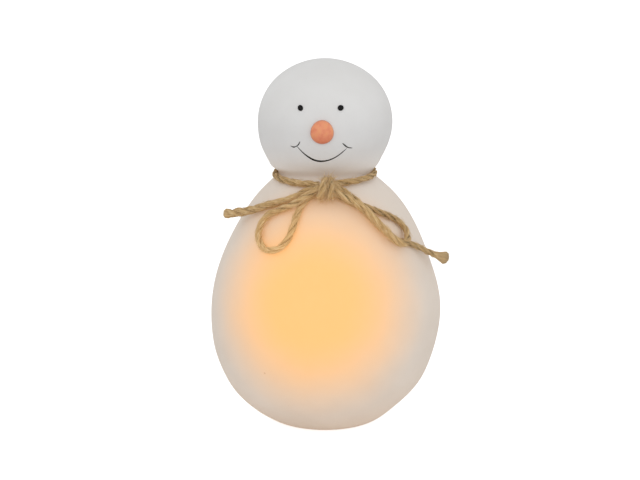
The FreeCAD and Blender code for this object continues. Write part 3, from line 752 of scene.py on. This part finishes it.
class Shader:
    """A node material, with short ways to add and link its nodes."""

    def __init__(self, name):
        self.material = bpy.data.materials.new(name)
        self.material.use_nodes = True
        self.tree = self.material.node_tree
        self.surface = self.tree.nodes["Principled BSDF"]
        self.place = self.add("ShaderNodeTexCoord").outputs["Object"]

    def add(self, kind, inputs=None, **settings):
        """New node with the given inputs (values or sockets) and settings."""
        node = self.tree.nodes.new(kind)
        for name, value in settings.items():
            setattr(node, name, value)
        for key, value in (inputs or {}).items():
            self.feed(node.inputs[key], value)
        return node

    def feed(self, socket, value):
        """Links a socket to another, or gives it a value."""
        if isinstance(value, bpy.types.NodeSocket):
            self.tree.links.new(value, socket)
        else:
            socket.default_value = value

    def set(self, **inputs):
        """Feeds inputs of the surface; an underscore in a name stands for a space."""
        for name, value in inputs.items():
            self.feed(self.surface.inputs[name.replace("_", " ")], value)

    def noise(self, size, detail=3.0, vector=None, rough=0.5):
        """Noise whose features are about size metres across."""
        inputs = {"Vector": vector or self.place, "Scale": 1 / size, "Detail": detail, "Roughness": rough}
        return self.add("ShaderNodeTexNoise", inputs).outputs["Fac"]

    def ramp(self, factor, stops):
        """Colours between the stops, each (position, colour)."""
        node = self.add("ShaderNodeValToRGB", {"Fac": factor})
        elements = node.color_ramp.elements
        while len(elements) < len(stops):
            elements.new(0.5)
        for element, (position, colour) in zip(elements, stops):
            element.position = position
            element.color = (*colour, 1.0)
        return node.outputs["Color"]

    def level(self, factor, low, high, to_low=0.0, to_high=1.0):
        """factor rescaled from low..high to to_low..to_high, and kept within them."""
        inputs = {"Value": factor, "From Min": low, "From Max": high, "To Min": to_low, "To Max": to_high}
        return self.add("ShaderNodeMapRange", inputs, interpolation_type="SMOOTHSTEP").outputs["Result"]

    def mix(self, factor, first, second, blend="MIX"):
        """Colour between the first, at factor 0, and the second blended over it, at factor 1."""
        node = self.add("ShaderNodeMix", data_type="RGBA", blend_type=blend)
        # Sockets 0, 6 and 7 are the factor and the two colours
        for index, value in ((0, factor), (6, first), (7, second)):
            if isinstance(value, tuple):
                value = (*value, 1.0)
            self.feed(node.inputs[index], value)
        return node.outputs[2]

    def calc(self, operation, first, second=0.0):
        """Result of one operation of the math node."""
        node = self.add("ShaderNodeMath", operation=operation)
        self.feed(node.inputs[0], first)
        self.feed(node.inputs[1], second)
        return node.outputs["Value"]

    def away_from(self, point):
        """Distance from a point of the object, in metres."""
        node = self.add("ShaderNodeVectorMath", {0: self.place, 1: point}, operation="DISTANCE")
        return node.outputs["Value"]

    def soft_edges(self):
        """Normals that round off the sharp edges of a small part."""
        return self.add("ShaderNodeBevel", {"Radius": EDGE_ROUNDING}, samples=6).outputs["Normal"]

    def bump(self, height, depth, below=None):
        """Normals of a relief depth metres high, laid over the normals below it."""
        inputs = {"Height": height, "Distance": depth, "Strength": 1.0}
        if below:
            inputs["Normal"] = below
        return self.add("ShaderNodeBump", inputs).outputs["Normal"]


def porcelain():
    """Matte white bisque with fine tooth and faint blotches, with painted glow and warm light where the
    lamp shines through and painted shade on the head.
    """
    shader = Shader("bisque_porcelain")
    # Faint blotches and grains, and one dark speck
    white = shader.ramp(
        shader.noise(0.018, 4),
        [(0.3, (0.80, 0.79, 0.775)), (0.7, (0.84, 0.835, 0.825))],
    )
    grains = shader.level(shader.noise(0.0007, 2), 0.28, 0.22, 0.0, 0.25)
    white = shader.mix(grains, white, (0.55, 0.52, 0.48))
    speck = shader.level(shader.away_from(SPECK_PLACE), SPECK_RADIUS, SPECK_RADIUS / 3, 0.0, 0.5)
    white = shader.mix(speck, white, (0.16, 0.13, 0.10))
    # Painted warm light from the lamp over the body, and a band of painted shade on the head
    height = shader.add("ShaderNodeSeparateXYZ", {"Vector": shader.place}).outputs["Z"]
    white = shader.mix(shader.level(height, *PAINTED_WARM_LIGHT_BAND), white, (0.96, 0.89, 0.815), "MULTIPLY")
    shade = shader.ramp(
        shader.level(height, *PAINTED_SHADE_HEAD_BAND),
        [(0.0, (1.0, 1.0, 1.0)), (0.25, (0.935, 0.935, 0.94)), (0.6, (0.94, 0.94, 0.945)),
         (1.0, (1.0, 1.0, 1.0))],
    )
    white = shader.mix(1.0, white, shade, "MULTIPLY")
    # The lamp's glow painted on with its uneven edge, as emission and an amber base colour, and the fainter
    # painted light round it
    uneven = shader.calc("MULTIPLY", shader.noise(0.012, 3), 0.004)
    distance = shader.calc("ADD", shader.away_from(GLOW_CENTRE), uneven)
    glow = shader.level(distance, GLOW_GONE, GLOW_FULL)
    below_head = shader.level(height, *NECK_LIGHT_BAND, 0.0, 0.065)
    near_table = shader.level(height, *FOOT_LIGHT_BAND, 0.0, 0.07)
    shine = shader.calc("ADD", glow, shader.calc("ADD", below_head, near_table))
    colour = shader.mix(glow, white, (0.30, 0.20, 0.10))
    tooth = shader.noise(0.00025, 4, rough=0.65)
    waves = shader.noise(0.006, 3)
    normal = shader.bump(waves, 0.00012, shader.bump(tooth, 0.00003))
    rough = shader.level(shader.noise(0.004, 3), 0.3, 0.7, 0.55, 0.7)
    shader.set(Base_Color=colour, Roughness=rough, Normal=normal, Specular_IOR_Level=0.35)
    shader.set(Emission_Color=(0.84, 0.415, 0.132, 1.0), Emission_Strength=shine)
    return shader.material


def nose_glaze():
    """Mottled orange underglaze, with painted shade that makes it redder and darker lower down, and darker
    towards the edge.
    """
    shader = Shader("nose_underglaze")
    low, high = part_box("nose")
    centre = (low + high) / 2
    mottle = shader.ramp(
        shader.noise(0.0022, 4),
        [(0.3, (0.80, 0.24, 0.12)), (0.5, (0.90, 0.33, 0.17)), (0.72, (0.92, 0.39, 0.17))],
    )
    # Darker towards the edge of the dome
    edge = shader.level(shader.away_from(Vector((centre.x, low.y, centre.z))), 0.0042, 0.0058)
    height = shader.add("ShaderNodeSeparateXYZ", {"Vector": shader.place}).outputs["Z"]
    # Painted shade: the nose is redder and darker towards its bottom, as if lit from above
    painted_shade_below = shader.level(height, centre.z + 0.002, low.z, 0.0, 0.55)
    mottle = shader.mix(painted_shade_below, mottle, (0.66, 0.17, 0.09))
    colour = shader.mix(edge, mottle, (0.56, 0.26, 0.18))
    normal = shader.bump(shader.noise(0.0006, 4), 0.00005)
    rough = shader.level(shader.noise(0.0015, 3), 0.3, 0.7, 0.45, 0.65)
    shader.set(Base_Color=colour, Normal=normal, Roughness=rough)
    return shader.material


def eye_enamel():
    """Glossy black, with a faint unevenness."""
    shader = Shader("eye_enamel")
    tint = shader.ramp(shader.noise(0.001, 2), [(0.3, (0.002, 0.002, 0.002)), (0.7, (0.006, 0.005, 0.005))])
    normal = shader.bump(shader.noise(0.0008, 2), 0.00002)
    shader.set(Base_Color=tint, Normal=normal, Roughness=0.15, Specular_IOR_Level=0.12, Coat_Weight=0.12)
    return shader.material


def smile_paint():
    """Matte black brush paint, a little worn."""
    shader = Shader("smile_paint")
    worn = shader.ramp(
        shader.noise(0.0009, 4),
        [(0.35, (0.006, 0.005, 0.003)), (0.7, (0.03, 0.025, 0.017))],
    )
    bumps = shader.bump(shader.noise(0.0003, 3), 0.00002)
    shader.set(Base_Color=worn, Normal=bumps, Roughness=0.6, Specular_IOR_Level=0.15)
    return shader.material


def jute():
    """Dry golden-tan fibres that run along each ply, with painted shade between the plies."""
    shader = Shader("jute_twine")
    grain = shader.add("ShaderNodeAttribute", attribute_name="grain").outputs["Vector"]
    depth = shader.add("ShaderNodeAttribute", attribute_name="depth").outputs["Fac"]
    stretch = shader.add("ShaderNodeMapping", {"Vector": grain, "Scale": (4.0, 4.0, 1.6)}).outputs["Vector"]
    streaks = shader.noise(1.0, 5, stretch, 0.65)
    blotches = shader.noise(1.7, 3, grain)
    coarse = shader.add("ShaderNodeMapping", {"Vector": grain, "Scale": (1.5, 1.5, 4.5)}).outputs["Vector"]
    flecks = shader.noise(1.0, 3, coarse)
    colour = shader.ramp(
        streaks,
        [(0.28, (0.22, 0.115, 0.034)), (0.40, (0.48, 0.30, 0.125)), (0.53, (0.66, 0.44, 0.20)),
         (0.70, (0.86, 0.63, 0.34))],
    )
    # Paler blotches, dark and pale flecks, and painted shade in the gaps between the plies
    colour = shader.mix(shader.level(blotches, 0.45, 0.75, 0.0, 0.35), colour, (0.82, 0.61, 0.35))
    colour = shader.mix(shader.level(flecks, 0.47, 0.33, 0.0, 0.55), colour, (0.30, 0.17, 0.06))
    colour = shader.mix(shader.level(flecks, 0.54, 0.68, 0.0, 0.5), colour, (0.90, 0.72, 0.44))
    colour = shader.mix(shader.level(depth, 0.80, 0.44, 0.0, 0.8), colour, (0.15, 0.085, 0.026))
    # A loose fibre is paler than the plies, and too thin for their streaks to stand out
    colour = shader.mix(shader.level(depth, 1.5, 1.9, 0.0, 0.5), colour, (0.87, 0.66, 0.38))
    in_ply = shader.level(depth, 1.9, 1.5)
    normal = shader.bump(shader.calc("MULTIPLY", streaks, in_ply), 0.00018)
    shader.set(Base_Color=colour, Normal=normal, Roughness=0.9, Specular_IOR_Level=0.15)
    shader.set(Sheen_Weight=0.2, Sheen_Roughness=0.6, Sheen_Tint=(1.0, 0.86, 0.66, 1.0))
    # Painted glow light on the twine near the lamp's glow, as emission
    lit = shader.level(shader.away_from(GLOW_CENTRE), *TWINE_LIT_BAND, 0.0, TWINE_LIT)
    shader.set(Emission_Color=(0.84, 0.43, 0.13, 1.0), Emission_Strength=lit)
    return shader.material


def moulded(name, colour, roughness, speckle=0.06, **more):
    """Injection-moulded plastic: fine grain and slight unevenness of tone."""
    shader = Shader(name)
    darker = tuple(channel * (1 - speckle) for channel in colour)
    tone = shader.ramp(shader.noise(0.003, 3), [(0.35, darker), (0.65, colour)])
    normal = shader.bump(shader.noise(0.0002, 3), 0.00002, shader.soft_edges())
    rough = shader.level(shader.noise(0.001, 3), 0.3, 0.7, roughness - 0.06, roughness + 0.08)
    shader.set(Base_Color=tone, Normal=normal, Roughness=rough, **more)
    return shader.material


def silicone():
    """Soft, slightly translucent rubber."""
    translucent = {"Subsurface_Weight": 0.4, "Subsurface_Scale": 0.001}
    return moulded("silicone_rubber", (0.72, 0.72, 0.70), 0.42, **translucent)


def metal(name, colour, roughness, stretch):
    """Metal with brushing or scratches drawn out along the axes with a small stretch factor."""
    shader = Shader(name)
    drawn = shader.add("ShaderNodeMapping", {"Vector": shader.place, "Scale": stretch}).outputs["Vector"]
    lines = shader.noise(0.0005, 4, drawn)
    duller = tuple(channel * 0.72 for channel in colour)
    tone = shader.ramp(lines, [(0.3, duller), (0.7, colour)])
    rough = shader.level(shader.noise(0.0012, 4), 0.3, 0.75, roughness - 0.08, roughness + 0.14)
    normal = shader.bump(lines, 0.000008, shader.soft_edges())
    shader.set(Base_Color=tone, Roughness=rough, Metallic=1.0, Normal=normal)
    return shader.material


def circuit_board():
    """Green solder mask over a pattern of tracks, with glass weave showing faintly."""
    shader = Shader("circuit_board")
    cells = shader.add("ShaderNodeTexVoronoi", {"Vector": shader.place, "Scale": 420.0},
                       distance="MANHATTAN", feature="DISTANCE_TO_EDGE").outputs["Distance"]
    tracks = shader.level(cells, 0.10, 0.06)
    weave = shader.noise(0.0006, 2)
    mask = shader.ramp(weave, [(0.3, (0.012, 0.10, 0.038)), (0.7, (0.02, 0.15, 0.055))])
    colour = shader.mix(tracks, mask, (0.05, 0.27, 0.10))
    shader.set(Base_Color=colour, Normal=shader.bump(tracks, 0.00003), Roughness=0.35)
    return shader.material


def resistor_body():
    """Pale blue lacquer with two plain bands, which state no value."""
    low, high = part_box("resistor")
    shader = Shader("resistor_lacquer")
    lacquer = shader.ramp(shader.noise(0.001, 2), [(0.3, (0.20, 0.42, 0.55)), (0.7, (0.26, 0.50, 0.62))])
    ends = shader.add("ShaderNodeSeparateXYZ", {"Vector": shader.place}).outputs["X"]
    middle = (low.x + high.x) / 2
    across = shader.calc("ABSOLUTE", shader.calc("SUBTRACT", ends, middle))
    reach = (high.x - low.x) / 2
    capped = shader.level(across, reach * 0.62, reach * 0.7)
    colour = shader.mix(capped, lacquer, (0.62, 0.62, 0.60))
    normal = shader.bump(shader.noise(0.0005, 2), 0.00002)
    shader.set(Base_Color=colour, Normal=normal, Roughness=0.35)
    return shader.material


def led_epoxy():
    """Warm-white lamp: tinted epoxy that glows, brightest at the dome."""
    low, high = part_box("led_bulb")
    shader = Shader("led_epoxy")
    front = Vector(((low.x + high.x) / 2, low.y, (low.z + high.z) / 2))
    near = shader.level(shader.away_from(front), 0.009, 0.001, 0.6, 2.5)
    tint = shader.ramp(shader.noise(0.002, 2), [(0.3, (0.95, 0.74, 0.38)), (0.7, (1.0, 0.84, 0.52))])
    shader.set(Base_Color=tint, Emission_Color=(1.0, 0.68, 0.32, 1.0), Emission_Strength=near)
    shader.set(Roughness=0.1, Coat_Weight=0.5, Normal=shader.bump(shader.noise(0.001, 2), 0.00001))
    return shader.material


def module_finishes():
    """Material of each slot that the light module's CAD nodes use."""
    return {
        "module_plastic": moulded("module_plastic", (0.78, 0.77, 0.74), 0.45),
        "silicone": silicone(),
        "screw_steel": metal("screw_steel", (0.62, 0.61, 0.60), 0.3, (1, 1, 6)),
        "cell_steel": metal("cell_steel", (0.72, 0.72, 0.72), 0.22, (1, 12, 1)),
        "contact_metal": metal("contact_metal", (0.70, 0.66, 0.56), 0.28, (8, 1, 1)),
        "circuit_board": circuit_board(),
        "chip_epoxy": moulded("chip_epoxy", (0.022, 0.022, 0.024), 0.5, 0.3),
        "resistor_body": resistor_body(),
        "switch_can": metal("switch_can", (0.66, 0.66, 0.65), 0.25, (1, 1, 10)),
        "slider_plastic": moulded("slider_plastic", (0.03, 0.03, 0.032), 0.4, 0.3),
        "led_epoxy": led_epoxy(),
        "red_insulation": moulded("red_insulation", (0.52, 0.02, 0.015), 0.4, 0.2),
        "black_insulation": moulded("black_insulation", (0.02, 0.02, 0.02), 0.4, 0.3),
    }


def finish_module():
    """Gives each CAD node of the light module its material."""
    finishes = module_finishes()
    for subpart in frame["record"]["subparts"]:
        material = finishes.get(subpart["material_slot"])
        if material:
            node = frame["nodes"][subpart["node"]]
            node.data.materials[0] = material


# ---- Studio ----

def white_sky():
    """Even white light from all round; the camera sees it brighter than it lights the object."""
    world = bpy.data.worlds.new("studio")
    world.use_nodes = True
    tree = world.node_tree
    background = tree.nodes["Background"]
    rays = tree.nodes.new("ShaderNodeLightPath")
    strength = tree.nodes.new("ShaderNodeMapRange")
    tree.links.new(rays.outputs["Is Camera Ray"], strength.inputs["Value"])
    strength.inputs["To Min"].default_value = SKY_LIGHT
    strength.inputs["To Max"].default_value = SKY_SEEN
    tree.links.new(strength.outputs["Result"], background.inputs["Strength"])
    background.inputs["Color"].default_value = (1.0, 1.0, 1.0, 1.0)
    bpy.context.scene.world = world


def soft_light(name, place, size, power):
    """White disk of light that faces the object and isn't seen itself."""
    data = bpy.data.lights.new(name, "AREA")
    data.shape = "DISK"
    data.size = size
    data.energy = power
    lamp = bpy.data.objects.new(name, data)
    lamp.location = place
    lamp.rotation_euler = (CAMERA_TARGET - Vector(place)).to_track_quat("-Z", "Y").to_euler()
    lamp.visible_camera = False
    bpy.context.scene.collection.objects.link(lamp)


def floor():
    """Plain pale tabletop, bright enough to read as white."""
    shader = Shader("pale_floor")
    camera_ray = shader.add("ShaderNodeLightPath").outputs["Is Camera Ray"]
    strength = shader.level(camera_ray, 0.0, 1.0, FLOOR_LIGHT, FLOOR_SEEN)
    shader.set(Base_Color=(0.7, 0.7, 0.7, 1.0), Roughness=0.9)
    shader.set(Emission_Color=(1, 1, 1, 1), Emission_Strength=strength)
    mesh = bpy.data.meshes.new("floor")
    signs = ((-1, -1), (1, -1), (1, 1), (-1, 1))
    corners = [(x * FLOOR_REACH, y * FLOOR_REACH, FLOOR_LEVEL) for x, y in signs]
    mesh.from_pydata(corners, [], [(0, 1, 2, 3)])
    mesh.materials.append(shader.material)
    plane = bpy.data.objects.new("floor", mesh)
    bpy.context.scene.collection.objects.link(plane)


def camera():
    """Level with the horizon, in front of the face and looking a little down."""
    data = bpy.data.cameras.new("camera")
    data.lens = CAMERA_LENS
    data.sensor_width = 36
    data.clip_start = 0.01
    view = bpy.data.objects.new("camera", data)
    back = Vector((0, -math.cos(CAMERA_ELEVATION), math.sin(CAMERA_ELEVATION)))
    view.location = CAMERA_TARGET + back * CAMERA_DISTANCE
    view.rotation_euler = (-back).to_track_quat("-Z", "Y").to_euler()
    bpy.context.scene.collection.objects.link(view)
    bpy.context.scene.camera = view


def studio():
    """Sky, two soft lights, floor and camera."""
    bpy.context.scene.view_settings.view_transform = "Standard"
    white_sky()
    soft_light("key", place=(-0.4, -1.2, 0.7), size=0.9, power=1.7)
    soft_light("fill", place=(0.9, -0.8, 0.3), size=0.8, power=1.0)
    floor()
    camera()


def face():
    """Nose, eyes and smile."""
    dome("nose", nose_glaze(), NOSE_HALF_SIZES, NOSE_PROUD, NOSE_NARROWING, NOSE_LUMPS)
    enamel = eye_enamel()
    dome("eye_left", enamel, LEFT_EYE_HALF_SIZES, EYE_PROUD)
    dome("eye_right", enamel, RIGHT_EYE_HALF_SIZES, EYE_PROUD)
    smile(smile_paint())


studio()
ceramic_figure(porcelain())
face()
twine(jute())
finish_module()
